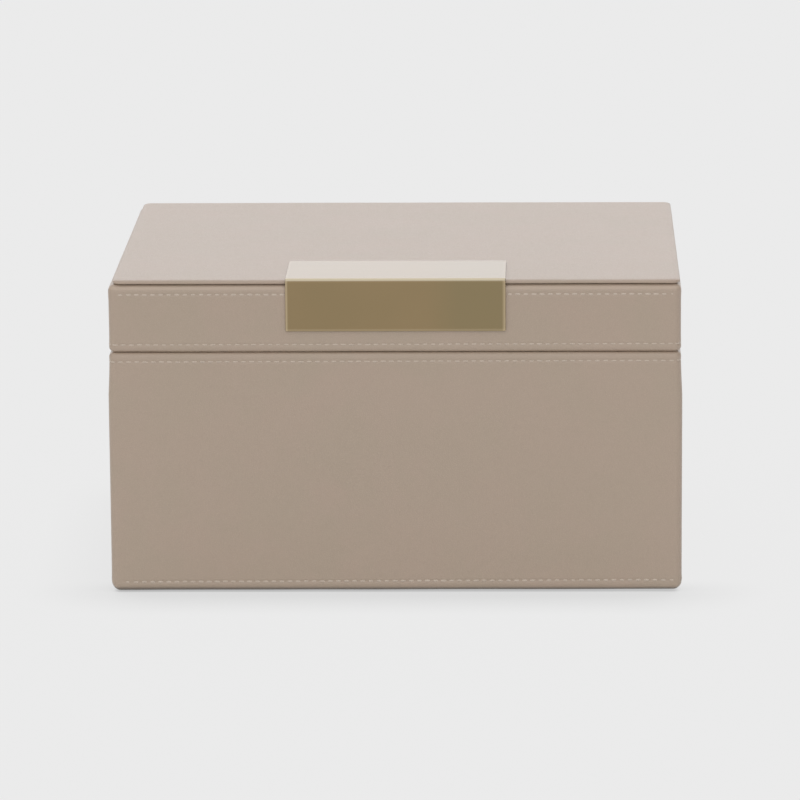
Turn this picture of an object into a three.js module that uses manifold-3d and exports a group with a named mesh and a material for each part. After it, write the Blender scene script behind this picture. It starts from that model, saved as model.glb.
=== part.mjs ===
// A storage box of MDF boards covered in leather-effect sheet, with a lid on two brass hinges.
// Units are millimetres. X runs to the right, Y to the back and Z up, and the front faces -Y.

import * as THREE from 'three';
import { mergeVertices } from 'three/addons/utils/BufferGeometryUtils.js';
import Module from 'manifold-3d';

const wasm = await Module();
wasm.setup();

// The box as a whole
const boxWidth = 280;
const boxDepth = 220;
const baseHeight = 120.7;
const rimGap = 0.7;
const lidHeight = 35.6;

// Boards
const wallBoard = 9;
const bottomBoard = 6;
const topBoard = 6;

// The cover and the way it is folded
const coverThickness = 1;
const glueLine = 0.3;
const cornerRadius = 3.5;
const foldRadius = 0.2;
const footRadius = 3;
const rimRadius = 1.8;
const crownRadius = 2.5;
const rimTurnIn = 12;
const footTurnUnder = 14;
const crownTurnOver = 14;

// The padded panel on top of the lid
const topPanel = 2.3;
const topPanelInset = 0.6;
const topPanelCorner = 4;
const topPanelEdge = 1.5;

// How far the pad that the box stands on reaches below the cover
const padProud = 0.3;

// Lining
const liningThickness = 2;
const floorLining = 3;
const liningSetback = 2;
const liningGap = 0.3;

// The pull plate, its two bosses and their screws
const plateWidth = 107.2;
const plateDrop = 26;
const plateReach = 48.7;
const plateThickness = 1;
const plateBend = 2.8;
const bossFromEnd = 18.6;
const bossRise = 7.5;
const bossRadius = 2.5;
const bossLength = 5;
const bossEndWall = 1;
const pullScrewRadius = 1.3;
const pullScrewHeadRadius = 2.6;
const pullScrewHead = 1.8;
const pullScrewSink = 0.4;

// Hinges
const hingeLength = 38;
const hingeFromSide = 55;
const hingePinRadius = 1.2;
const hingePinEnd = 0.6;
const pinFit = 0.3;
const knuckleWall = 1.1;
const knuckleCount = 5;
const knuckleGap = 0.3;
const barrelStandoff = 0.4;
const leafPlay = 0.3;
const leafMargin = 1;

// The ribs behind the knuckles that meet and hold the open lid
const openAngle = THREE.MathUtils.degToRad(95);
const stopSlack = THREE.MathUtils.degToRad(2);
const stopClearance = 0.3;
const stopHeight = 1.4;
const stopThickness = 1.2;

// Hinge screws
const hingeScrewSpan = 24;
const hingeScrewLength = 12;
const hingeScrewRadius = 1.1;
const hingeScrewHeadRadius = 2.1;
const hingeScrewHead = 1.2;
const hingeScrewTip = 2;
const headEdgeShare = 0.2;

// Clearance round a fastener in its hole, and round a leaf in the cover's cut-out
const holeFit = 0.3;

// How far a cutting shape runs past what it cuts
const overrun = 5;

// How finely round forms are divided
const cornerSteps = 5;
const arcSteps = 5;
const roundSides = 16;

// Insets from the outer faces of the walls
const halfWidth = boxWidth / 2;
const halfDepth = boxDepth / 2;
const skin = coverThickness + glueLine;
const boardInner = skin + wallBoard;
const turnInner = boardInner + skin;
const liningOuter = turnInner + liningGap;
const liningInner = liningOuter + liningThickness;

// Heights
const lidRim = baseHeight + rimGap;
const boxTop = lidRim + lidHeight;
const lidCrown = boxTop - topPanel;
const baseBoardFoot = padProud + skin;
const baseBoardTop = baseHeight - skin;
const baseFloor = baseBoardFoot + bottomBoard;
const lidBoardFoot = lidRim + skin;
const lidBoardTop = lidCrown - skin;
const lidCeiling = lidBoardTop - topBoard;

// The pull plate's places
const plateBottom = boxTop + plateThickness - plateDrop;
const plateFront = -halfDepth - plateThickness;
const plateBendInside = plateBend - plateThickness;
const bossSpan = plateWidth - 2 * bossFromEnd;
const bossHeight = plateBottom + bossRise;
const pullScrewSeat = -halfDepth + boardInner - pullScrewSink;
const pullScrewTip = -halfDepth + bossEndWall + holeFit;

// The hinges' places
const knuckleRadius = hingePinRadius + pinFit + knuckleWall;
const hingeX = halfWidth - hingeFromSide;
const hingeAxisY = halfDepth + barrelStandoff + knuckleRadius;
const hingeAxisZ = baseHeight + rimGap / 2;
const leafTop = leafPlay / 2;
const leafThickness = hingeAxisZ - leafTop - baseBoardTop;
const leafEnd = halfDepth - boardInner + leafMargin;
const hingeScrewY = halfDepth - skin - wallBoard / 2 - hingeAxisY;

// Colour, roughness and metalness of each material
const finishes = {
  leather: [0xa69788, 0.45, 0],
  board: [0xb08f6b, 0.85, 0],
  card: [0x9a8f80, 0.9, 0],
  felt: [0x4b443e, 0.95, 0],
  suede: [0xcfc2b2, 0.9, 0],
  brass: [0xb59c63, 0.3, 1],
  steel: [0x9c9da0, 0.35, 1],
};

function node(name, geometry, finish) {
  const [color, roughness, metalness] = finishes[finish];
  const mesh = new THREE.Mesh(geometry, new THREE.MeshStandardMaterial({ color, roughness, metalness }));
  mesh.name = name;
  return mesh;
}

// A closed geometry as a solid that can be joined and cut
function solidOf(geometry) {
  const bare = geometry.clone();
  bare.deleteAttribute('normal');
  bare.deleteAttribute('uv');
  const merged = mergeVertices(bare);
  const corners = merged.index.array;
  const faces = [];
  for (let k = 0; k < corners.length; k += 3) {
    const face = [corners[k], corners[k + 1], corners[k + 2]];
    if (new Set(face).size === face.length) {
      faces.push(...face);
    }
  }
  return new wasm.Manifold(new wasm.Mesh({
    numProp: 3,
    vertProperties: new Float32Array(merged.attributes.position.array),
    triVerts: new Uint32Array(faces),
  }));
}

function geometryOf(solid) {
  const mesh = solid.getMesh();
  const shared = new THREE.BufferGeometry();
  shared.setAttribute('position', new THREE.BufferAttribute(mesh.vertProperties, mesh.numProp));
  shared.setIndex(new THREE.BufferAttribute(mesh.triVerts, 1));
  const faceted = shared.toNonIndexed();
  faceted.computeVertexNormals();
  return faceted;
}

function joined(solids) {
  return solids.reduce((whole, piece) => whole.add(piece));
}

function cutBy(solid, cutters) {
  return cutters.reduce((rest, cutter) => rest.subtract(cutter), solid);
}

// A box between two opposite corners, each given as [x, y, z]
function boxBetween(low, high) {
  const geometry = new THREE.BoxGeometry(1, 1, 1);
  const position = geometry.attributes.position;
  for (let k = 0; k < position.count; k += 1) {
    const corner = [position.getX(k), position.getY(k), position.getZ(k)];
    position.setXYZ(k, ...corner.map((side, axis) => (side < 0 ? low[axis] : high[axis])));
  }
  return geometry;
}

// A shape drawn with Y across and Z up, made solid along X from one place to another
function alongX(shape, from, to) {
  const geometry = new THREE.ExtrudeGeometry(shape, { depth: to - from, bevelEnabled: false });
  const [x, y, z] = [new THREE.Vector3(1, 0, 0), new THREE.Vector3(0, 1, 0), new THREE.Vector3(0, 0, 1)];
  geometry.applyMatrix4(new THREE.Matrix4().makeBasis(y, z, x));
  return geometry.translate(from, 0, 0);
}

// A round bar along X about the line Y = 0, Z = 0
function barAlongX(radius, from, to) {
  const bar = new THREE.CylinderGeometry(radius, radius, to - from, roundSides);
  return bar.rotateZ(-Math.PI / 2).translate((from + to) / 2, 0, 0);
}

// A round bar along Y at a given X and Z
function barAlongY(radius, x, z, from, to) {
  const bar = new THREE.CylinderGeometry(radius, radius, to - from, roundSides);
  return bar.translate(x, (from + to) / 2, z);
}

// A profile of [radius, height] points turned about Z
function turnedAboutZ(profile) {
  const points = profile.map(([radius, height]) => new THREE.Vector2(radius, height));
  return new THREE.LatheGeometry(points, roundSides).rotateX(Math.PI / 2);
}

// Sections are drawn as [inset, height] points, with the inset growing inwards from the outer face
const outward = Math.PI;
const upward = Math.PI / 2;
const downward = Math.PI * 1.5;
const inward = 0;

// A rounded edge of a section, from one direction to the next, that ends on a line of inset and one of height
function roundedEdge(inset, height, radius, from, to) {
  const centreInset = inset - radius * (Math.cos(from) + Math.cos(to));
  const centreHeight = height - radius * (Math.sin(from) + Math.sin(to));
  return Array.from({ length: arcSteps + 1 }, (_, step) => {
    const angle = from + ((to - from) * step) / arcSteps;
    return [centreInset + radius * Math.cos(angle), centreHeight + radius * Math.sin(angle)];
  });
}

// An edge's radius on a face that lies inside the outer one
function drawnIn(radius, inset) {
  return Math.max(radius - inset, foldRadius);
}

// One ring of points round the box, counterclockwise from above
function ringPoints(inset, height, radius) {
  const turn = drawnIn(radius, inset);
  const x = halfWidth - inset - turn;
  const y = halfDepth - inset - turn;
  const centres = [[x, -y], [x, y], [-x, y], [-x, -y]];
  const steps = Array.from({ length: cornerSteps + 1 }, (_, step) => step / cornerSteps);
  return centres.flatMap(([centreX, centreY], corner) => steps.map((step) => {
    const angle = ((corner - 1 + step) * Math.PI) / 2;
    return [centreX + turn * Math.cos(angle), centreY + turn * Math.sin(angle), height];
  }));
}

// A section carried round the box: a closed section makes a frame, an open one a capped block
function sweptRound(section, closed, radius) {
  const rings = section.map(([inset, height]) => ringPoints(inset, height, radius));
  const count = rings[0].length;
  const bands = closed ? rings.length : rings.length - 1;
  const faces = [];
  for (let band = 0; band < bands; band += 1) {
    const low = band * count;
    const high = ((band + 1) % rings.length) * count;
    for (let k = 0; k < count; k += 1) {
      const next = (k + 1) % count;
      faces.push(low + k, low + next, high + next, low + k, high + next, high + k);
    }
  }
  if (!closed) {
    const last = bands * count;
    for (let k = 1; k < count - 1; k += 1) {
      faces.push(0, k + 1, k, last, last + k, last + k + 1);
    }
  }
  const geometry = new THREE.BufferGeometry();
  geometry.setAttribute('position', new THREE.Float32BufferAttribute(rings.flat(2), 3));
  geometry.setIndex(faces);
  return solidOf(geometry);
}

// Turns a section drawn for a rim above its far edge the other way up where the rim is the lower one
function standing(section, rim, far) {
  return rim > far ? section : section.map(([inset, height]) => [inset, -height]).reverse();
}

// The cover: from its far edge round the outer face and over the rim to its turned-in edge
function cover(rim, far, farRadius, farTurn) {
  const side = Math.sign(rim - far);
  const [top, foot] = [side * rim, side * far];
  const [topInside, footInside] = [top - coverThickness, foot + coverThickness];
  const rimInside = drawnIn(rimRadius, coverThickness);
  const farInside = drawnIn(farRadius, coverThickness);
  const section = [
    [farTurn, foot],
    ...roundedEdge(0, foot, farRadius, downward, outward),
    ...roundedEdge(0, top, rimRadius, outward, upward),
    ...roundedEdge(turnInner, top, coverThickness, upward, inward),
    [turnInner, top - rimTurnIn],
    [turnInner - coverThickness, top - rimTurnIn],
    [turnInner - coverThickness, topInside],
    ...roundedEdge(coverThickness, topInside, rimInside, upward, outward),
    ...roundedEdge(coverThickness, footInside, farInside, outward, downward),
    [farTurn, footInside],
  ];
  return sweptRound(standing(section, rim, far), true, cornerRadius);
}

// The block that the boards are cut from, drawn in from the cover's outer faces by cover and glue
function carcass(rim, far, farRadius) {
  const side = Math.sign(rim - far);
  const [top, foot] = [side * rim, side * far];
  const section = [
    ...roundedEdge(skin, foot + skin, drawnIn(farRadius, skin), downward, outward),
    ...roundedEdge(skin, top - skin, drawnIn(rimRadius, skin), outward, upward),
  ];
  return sweptRound(standing(section, rim, far), false, cornerRadius);
}

// Four boxes that line the walls between two insets, the front and back ones running full width
function wallBoxes(outer, inner, foot, top) {
  const [x, y] = [halfWidth - outer, halfDepth - outer];
  const [innerX, innerY] = [halfWidth - inner, halfDepth - inner];
  return {
    front: boxBetween([-x, -y, foot], [x, -innerY, top]),
    back: boxBetween([-x, innerY, foot], [x, y, top]),
    left: boxBetween([-x, -innerY, foot], [-innerX, innerY, top]),
    right: boxBetween([innerX, -innerY, foot], [x, innerY, top]),
  };
}

// A box over the whole floor of the box, drawn in by one inset
function flatBox(inset, foot, top) {
  const [x, y] = [halfWidth - inset, halfDepth - inset];
  return boxBetween([-x, -y, foot], [x, y, top]);
}

// A countersunk screw that points down from the middle of its head's face, or the hole that takes it
function hingeScrewShape(grow) {
  return solidOf(turnedAboutZ([
    [0, -hingeScrewLength - grow],
    [hingeScrewRadius + grow, -hingeScrewLength + hingeScrewTip],
    [hingeScrewRadius + grow, -hingeScrewHead - grow],
    [hingeScrewHeadRadius + grow, -hingeScrewHead * headEdgeShare - grow],
    [hingeScrewHeadRadius + grow, grow],
    [0, grow],
  ]));
}

// Where the screws of one leaf stand, from the middle of the hinge line
function leafScrewPlaces(side) {
  return [-1, 1].map((end) => [(end * hingeScrewSpan) / 2, hingeScrewY, side * leafTop]);
}

// Screw holes of one leaf, from the middle of the hinge line
function leafScrewHoles(side) {
  return leafScrewPlaces(side).map((place) => {
    const hole = hingeScrewShape(holeFit);
    return (side > 0 ? hole.rotate([180, 0, 0]) : hole).translate(place);
  });
}

// The same holes in the box's own frame, for both hinges
function boardScrewHoles(side) {
  return [-hingeX, hingeX].flatMap((x) => leafScrewHoles(side).map(
    (hole) => hole.translate([x, hingeAxisY, hingeAxisZ]),
  ));
}

// The cut-outs in a cover's rim that let the leaves lie on the boards
function leafCutouts(foot, top) {
  const reach = hingeLength / 2 + holeFit;
  return [-hingeX, hingeX].map((x) => solidOf(
    boxBetween([x - reach, leafEnd - holeFit, foot], [x + reach, halfDepth + overrun, top]),
  ));
}

// Where the knuckles of one leaf begin and end: the lower leaf has the first, the upper the second, and so on
function knucklePlaces(side, grow) {
  const pitch = hingeLength / knuckleCount;
  const first = side < 0 ? 0 : 1;
  const places = [];
  for (let k = first; k < knuckleCount; k += 2) {
    const start = k * pitch - hingeLength / 2;
    places.push([start + knuckleGap / 2 - grow, start + pitch - knuckleGap / 2 + grow]);
  }
  return places;
}

// A stop rib's outline between two distances from the hinge line
function stopShape(side, from, to) {
  const angle = side * (openAngle + stopSlack) / 2;
  const [alongY, alongZ] = [Math.cos(angle), Math.sin(angle)];
  const [offY, offZ] = [-side * alongZ * stopThickness, side * alongY * stopThickness];
  return new THREE.Shape([
    new THREE.Vector2(from * alongY, from * alongZ),
    new THREE.Vector2(to * alongY, to * alongZ),
    new THREE.Vector2(to * alongY + offY, to * alongZ + offZ),
    new THREE.Vector2(from * alongY + offY, from * alongZ + offZ),
  ]);
}

// One leaf of a hinge, below the hinge line for side -1 and above it for side 1
function hingeLeaf(side) {
  const half = hingeLength / 2;
  const [inside, outside] = [side * leafTop, side * (leafTop + leafThickness)];
  const ribInner = knuckleRadius + stopClearance;
  const ribOuter = ribInner + stopHeight;
  const plate = solidOf(boxBetween(
    [-half, leafEnd - hingeAxisY, Math.min(inside, outside)],
    [half, 0, Math.max(inside, outside)],
  ));
  const notches = knucklePlaces(-side, knuckleGap).map(([from, to]) => solidOf(
    boxBetween([from, -knuckleRadius - knuckleGap, -overrun], [to, overrun, overrun]),
  ));
  const own = knucklePlaces(side, 0);
  const knuckles = own.map(([from, to]) => solidOf(barAlongX(knuckleRadius, from, to)));
  const webs = own.map(([from, to]) => solidOf(
    alongX(stopShape(side, knuckleRadius - knuckleWall / 2, ribInner + stopHeight / 2), from, to),
  ));
  const rib = solidOf(alongX(stopShape(side, ribInner, ribOuter), own[0][0], own.at(-1)[1]));
  const bore = solidOf(barAlongX(hingePinRadius + pinFit, -half - overrun, half + overrun));
  const leaf = joined([cutBy(plate, notches), ...knuckles, ...webs, rib]);
  return cutBy(leaf, [bore, ...leafScrewHoles(side)]);
}

// The plate's L-shaped outline, with a rounded bend
function plateShape() {
  const [top, back] = [boxTop + plateThickness, plateFront + plateReach];
  const shape = new THREE.Shape();
  shape.moveTo(plateFront, plateBottom);
  shape.lineTo(-halfDepth, plateBottom);
  shape.lineTo(-halfDepth, boxTop - plateBendInside);
  const bendInside = [-halfDepth + plateBendInside, boxTop - plateBendInside];
  shape.absarc(...bendInside, plateBendInside, Math.PI, Math.PI / 2, true);
  shape.lineTo(back, boxTop);
  shape.lineTo(back, top);
  shape.lineTo(plateFront + plateBend, top);
  shape.absarc(plateFront + plateBend, top - plateBend, plateBend, Math.PI / 2, Math.PI, false);
  return shape;
}

const bossPlaces = [-bossSpan / 2, bossSpan / 2];

function bossBars(radius, from, to) {
  return bossPlaces.map((x) => solidOf(barAlongY(radius, x, bossHeight, from, to)));
}

function pullPlate() {
  const bossEnd = -halfDepth + bossLength;
  const bosses = bossBars(bossRadius, -halfDepth - plateThickness / 2, bossEnd);
  const threads = bossBars(pullScrewRadius + holeFit, -halfDepth + bossEndWall, bossEnd + overrun);
  const plate = solidOf(alongX(plateShape(), -plateWidth / 2, plateWidth / 2));
  return cutBy(joined([plate, ...bosses]), threads);
}

// The screw from inside the lid into a boss, pointing down until it is placed
function pullScrewShape() {
  const length = pullScrewSeat - pullScrewTip;
  return solidOf(turnedAboutZ([
    [0, -length],
    [pullScrewRadius, -length],
    [pullScrewRadius, -pullScrewHead],
    [pullScrewHeadRadius, -pullScrewHead],
    [pullScrewHeadRadius, 0],
    [0, 0],
  ]));
}

// What the bosses and their screws cut out of the lid's front board
function pullCutters() {
  const seat = pullScrewSeat - pullScrewHead;
  const inside = -halfDepth + boardInner + overrun;
  return [
    ...bossBars(bossRadius + holeFit, -halfDepth - overrun, -halfDepth + bossLength + holeFit),
    ...bossBars(pullScrewRadius + holeFit, -halfDepth, inside),
    ...bossBars(pullScrewHeadRadius + holeFit, seat, inside),
  ];
}

function linings(part, foot, top) {
  const boxes = wallBoxes(liningOuter, liningInner, foot, top);
  return Object.entries(boxes).map(([side, box]) => node(`${part}_lining_${side}`, box, 'suede'));
}

// The base
function baseNodes() {
  const block = carcass(baseHeight, padProud, footRadius);
  const walls = wallBoxes(0, boardInner, 0, baseHeight);
  const boards = Object.entries(walls).map(([side, box]) => {
    const wall = block.intersect(solidOf(box));
    const drilled = side === 'back' ? cutBy(wall, boardScrewHoles(-1)) : wall;
    return node(`base_${side}_board`, geometryOf(drilled), 'board');
  });
  const baseCover = cutBy(
    cover(baseHeight, padProud, footRadius, footTurnUnder),
    leafCutouts(baseBoardTop, baseHeight + overrun),
  );
  const floorTop = baseFloor + floorLining;
  return [
    ...boards,
    node('base_bottom_board', flatBox(boardInner, baseBoardFoot, baseFloor), 'board'),
    node('base_cover', geometryOf(baseCover), 'leather'),
    node('base_underside_pad', flatBox(footTurnUnder + glueLine, 0, baseBoardFoot), 'felt'),
    ...linings('base', baseFloor, baseHeight - liningSetback),
    node('base_lining_floor', flatBox(liningInner + liningGap, baseFloor, floorTop), 'suede'),
  ];
}

// The padded panel on the lid: a stiff card with a step under it, and its cover with edges turned down
function topPanelNodes() {
  const radius = topPanelCorner + topPanelInset;
  const cardTop = boxTop - coverThickness;
  const cardInset = topPanelInset + skin;
  const stepInset = crownTurnOver + glueLine;
  const coverInset = topPanelInset + coverThickness;
  const topCard = sweptRound([
    [stepInset, lidBoardTop],
    [stepInset, lidCrown],
    [cardInset, lidCrown],
    [cardInset, cardTop],
  ], false, radius);
  const topCover = sweptRound([
    [coverInset, cardTop],
    [coverInset, lidCrown],
    [topPanelInset, lidCrown],
    ...roundedEdge(topPanelInset, boxTop, topPanelEdge, outward, upward),
  ], false, radius);
  return [
    node('lid_top_card', geometryOf(topCard), 'card'),
    node('lid_top_cover', geometryOf(topCover), 'leather'),
  ];
}

function pullNodes() {
  const screws = bossPlaces.map((x, k) => {
    const screw = node(`pull_screw_${k === 0 ? 'left' : 'right'}`, geometryOf(pullScrewShape()), 'steel');
    screw.position.set(x, pullScrewSeat, bossHeight);
    screw.rotation.x = -Math.PI / 2;
    return screw;
  });
  return [node('pull_plate', geometryOf(pullPlate()), 'brass'), ...screws];
}

// The lid
function lidNodes() {
  const block = carcass(lidRim, lidCrown, crownRadius);
  const walls = wallBoxes(0, boardInner, lidRim, lidCeiling);
  const cutters = { front: pullCutters(), back: boardScrewHoles(1), left: [], right: [] };
  const boards = Object.entries(walls).map(([side, box]) => {
    const wall = cutBy(block.intersect(solidOf(box)), cutters[side]);
    return node(`lid_${side}_board`, geometryOf(wall), 'board');
  });
  const top = block.intersect(solidOf(flatBox(0, lidCeiling, lidCrown)));
  const lidCover = cutBy(
    cover(lidRim, lidCrown, crownRadius, crownTurnOver),
    [
      ...leafCutouts(lidRim - overrun, lidBoardFoot),
      ...bossBars(bossRadius + holeFit, -halfDepth - overrun, -halfDepth + skin),
    ],
  );
  const ceilingFoot = lidCeiling - liningThickness;
  return [
    ...boards,
    node('lid_top_board', geometryOf(top), 'board'),
    node('lid_cover', geometryOf(lidCover), 'leather'),
    ...topPanelNodes(),
    ...linings('lid', lidRim + liningSetback, lidCeiling),
    node('lid_lining_ceiling', flatBox(liningInner + liningGap, ceilingFoot, lidCeiling), 'suede'),
    ...pullNodes(),
  ];
}

// One leaf and its screws, standing on the hinge line
function leafGroup(name, side) {
  const level = side < 0 ? 'lower' : 'upper';
  const group = new THREE.Group();
  group.add(node(`${name}_${level}_leaf`, geometryOf(hingeLeaf(side)), 'brass'));
  leafScrewPlaces(side).forEach((place, k) => {
    const screw = node(`${name}_${level}_screw_${k + 1}`, geometryOf(hingeScrewShape(0)), 'brass');
    screw.position.set(...place);
    screw.rotation.x = side < 0 ? 0 : Math.PI;
    group.add(screw);
  });
  return group;
}

function hingePin(name) {
  const reach = hingeLength / 2 + hingePinEnd;
  return node(`${name}_pin`, barAlongX(hingePinRadius, -reach, reach), 'brass');
}

// The lid's group turns about the hinge line, and its pieces are drawn in the box's own frame
const base = new THREE.Group();
base.add(...baseNodes());

const lid = new THREE.Group();
lid.position.set(0, hingeAxisY, hingeAxisZ);
const lidPieces = new THREE.Group();
lidPieces.position.set(0, -hingeAxisY, -hingeAxisZ);
lidPieces.add(...lidNodes());
lid.add(lidPieces);

for (const [name, x] of [['hinge_left', -hingeX], ['hinge_right', hingeX]]) {
  const lower = leafGroup(name, -1);
  lower.add(hingePin(name));
  lower.position.set(x, hingeAxisY, hingeAxisZ);
  base.add(lower);
  const upper = leafGroup(name, 1);
  upper.position.x = x;
  lid.add(upper);
}

// The finished box stands with the middle of its outline over the origin
const box = new THREE.Group();
box.add(base, lid);
const outline = new THREE.Box3().setFromObject(box);
box.position.y = -(outline.min.y + outline.max.y) / 2;

export default box;
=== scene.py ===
import math
import random

import bmesh
import bpy
from mathutils import Matrix, Vector, noise


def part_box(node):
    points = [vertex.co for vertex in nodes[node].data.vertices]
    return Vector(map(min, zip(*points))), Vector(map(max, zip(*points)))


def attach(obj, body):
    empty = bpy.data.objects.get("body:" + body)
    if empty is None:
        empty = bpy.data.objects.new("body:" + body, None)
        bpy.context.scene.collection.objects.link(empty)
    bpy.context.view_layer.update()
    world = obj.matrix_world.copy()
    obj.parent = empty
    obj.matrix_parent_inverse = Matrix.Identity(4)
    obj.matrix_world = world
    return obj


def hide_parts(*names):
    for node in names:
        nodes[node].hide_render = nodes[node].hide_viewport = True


# Looks of a leather-effect box with a hinged lid. Sizes are in metres, in the part's own frame.

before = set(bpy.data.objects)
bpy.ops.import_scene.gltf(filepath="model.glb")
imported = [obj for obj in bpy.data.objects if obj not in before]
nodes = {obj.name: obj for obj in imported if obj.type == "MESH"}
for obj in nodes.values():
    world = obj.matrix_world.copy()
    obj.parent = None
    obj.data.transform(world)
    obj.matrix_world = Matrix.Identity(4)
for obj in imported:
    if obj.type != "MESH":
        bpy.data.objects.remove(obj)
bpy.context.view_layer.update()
scene = bpy.context.scene
print("frame loaded:", len(nodes), "solids")


# Materials

class Wire:
    # An output of a material's node. Sums of wires add Math nodes.
    def __init__(self, tree, socket=None):
        self.tree = tree
        self.socket = socket

    def node(self, kind, settings=None, sockets=None, output=0):
        made = self.tree.nodes.new("ShaderNode" + kind)
        for name, value in (settings or {}).items():
            setattr(made, name, value)
        for name, value in (sockets or {}).items():
            socket = made.inputs[name]
            if isinstance(value, Wire):
                self.tree.links.new(value.socket, socket)
            elif socket.type == "RGBA":
                socket.default_value = (*value, 1)
            else:
                socket.default_value = value
        return Wire(self.tree, made.outputs[output] if made.outputs else None)

    def maths(self, operation, first, second=0.0):
        return self.node("Math", {"operation": operation}, {0: first, 1: second})

    def __add__(self, other):
        return self.maths("ADD", self, other)

    def __sub__(self, other):
        return self.maths("SUBTRACT", self, other)

    def __rsub__(self, other):
        return self.maths("SUBTRACT", other, self)

    def __mul__(self, other):
        return self.maths("MULTIPLY", self, other)

    __radd__ = __add__
    __rmul__ = __mul__

    def spread(self, low, high, start=0.0, end=1.0):  # a soft step from low to high
        places = {"Value": self, "From Min": low, "From Max": high, "To Min": start, "To Max": end}
        return self.node("MapRange", {"interpolation_type": "SMOOTHSTEP"}, places)

    def blended(self, first, second):  # colours, mixed by this value
        return self.node("Mix", {"data_type": "RGBA"}, {0: self, 6: first, 7: second}, 2)

    def axis(self, number):  # one coordinate of a place
        return self.node("SeparateXYZ", {}, {"Vector": self}, number)

    def noise(self, place, scale, detail=2.0, roughness=0.5):
        sockets = {"Vector": place, "Scale": scale, "Detail": detail, "Roughness": roughness}
        return self.node("TexNoise", {}, sockets)


def startMaterial(name):
    material = bpy.data.materials.new(name)
    material.use_nodes = True
    material.node_tree.nodes.clear()
    start = Wire(material.node_tree)
    return material, start, start.node("TexCoord", output=3)


def finishMaterial(start, sockets):
    surface = start.node("BsdfPrincipled", {}, sockets)
    start.node("OutputMaterial", {}, {"Surface": surface})


def stretched(start, place, scale):
    return start.node("Mapping", {}, {"Vector": place, "Scale": scale})


def bumped(start, height, distance, strength=1.0):
    return start.node("Bump", {}, {"Height": height, "Distance": distance, "Strength": strength})


leatherLook = {
    "colour": (0.4835, 0.381, 0.292),
    "warmPatch": (0.491, 0.381, 0.295),
    "coolPatch": (0.475, 0.379, 0.288),
    "grainShade": (0.25, 0.19, 0.14),
    "paintedFootShade": (0.15, 0.115, 0.085),
    "footHeights": (0.0013, 0.0033),     # painted shade at the foot, fading out between these heights
    "shoulder": (0.58, 0.458, 0.352),    # painted highlight on the lid's upper edge
    "shoulderHighlightStart": (0.1517, 0.1526),
    "shoulderHighlightEnd": (0.1533, 0.1538),
    "shoulderHighlightAmount": 0.55,
    "grainScale": 1150,
    "grainDepth": 0.00005,
    "grainBend": 0.0012,                 # how far noise pulls the grain about
    "roughness": 0.42,
    "gloss": 0.72,
    "glossRoughness": 0.3,
}


def leatherMaterial():
    look = leatherLook
    material, start, place = startMaterial("taupeLeatherEffect")
    drift = start.noise(place, 260, 2)
    bentPlace = start.node("VectorMath", {"operation": "MULTIPLY_ADD"},
                           {0: start.node("TexNoise", {}, {"Vector": place, "Scale": 420}, 1),
                            1: (look["grainBend"],) * 3, 2: place})
    cells = start.node("TexVoronoi", {"feature": "DISTANCE_TO_EDGE"},
                       {"Vector": bentPlace, "Scale": look["grainScale"]})
    pebble = cells.spread(0.02, 0.32)
    pores = start.noise(place, 3800, 2)
    patches = start.noise(place, 34, 3, 0.6)
    slow = start.noise(place, 9, 2)
    colour = patches.spread(0.35, 0.66).blended(look["coolPatch"], look["warmPatch"])
    colour = slow.spread(0.3, 0.7, 0.0, 0.5).blended(colour, look["colour"])
    darkGrain = (1 - pebble) * 0.1 + pores.spread(0.62, 0.8) * 0.06
    colour = darkGrain.blended(colour, look["grainShade"])
    height = place.axis(2)
    # painted shade along the base's foot, darker towards the floor
    colour = height.spread(*look["footHeights"], 1.0, 0.0).blended(colour, look["paintedFootShade"])
    # painted highlight along the lid's upper edge
    shoulder = height.spread(*look["shoulderHighlightStart"], 0.0, look["shoulderHighlightAmount"])
    shoulder *= height.spread(*look["shoulderHighlightEnd"], 1.0, 0.0)
    colour = shoulder.blended(colour, look["shoulder"])
    roughness = look["roughness"] + (1 - pebble) * 0.1 + (drift - 0.5) * 0.12
    gloss = look["gloss"] - (1 - pebble) * 0.15
    relief = pebble * 0.75 + pores * 0.25 + drift * 0.5
    finishMaterial(start, {
        "Base Color": colour, "Roughness": roughness, "Coat Weight": gloss,
        "Coat Roughness": look["glossRoughness"], "Normal": bumped(start, relief, look["grainDepth"], 0.6),
    })
    return material


threadLook = {"colour": (0.7, 0.6, 0.5), "shade": (0.55, 0.465, 0.38), "twist": 433.3333}


def threadMaterial():
    look = threadLook
    material, start, place = startMaterial("linenThread")
    turned = start.node("Mapping", {}, {"Vector": place, "Rotation": (0.6, 0.7, 0.5)})
    twist = start.node("TexWave", {"bands_direction": "X"}, {"Vector": turned, "Scale": look["twist"]})
    fuzz = start.noise(place, 900, 3)
    tone = start.noise(place, 90, 1)
    colour = (twist * 0.4 + tone * 0.6).blended(look["shade"], look["colour"])
    finishMaterial(start, {
        "Base Color": colour, "Roughness": 0.62 + fuzz * 0.2, "Sheen Weight": 0.3,
        "Normal": bumped(start, twist * 0.6 + fuzz * 0.4, 0.00006, 0.7),
    })
    return material


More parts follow.
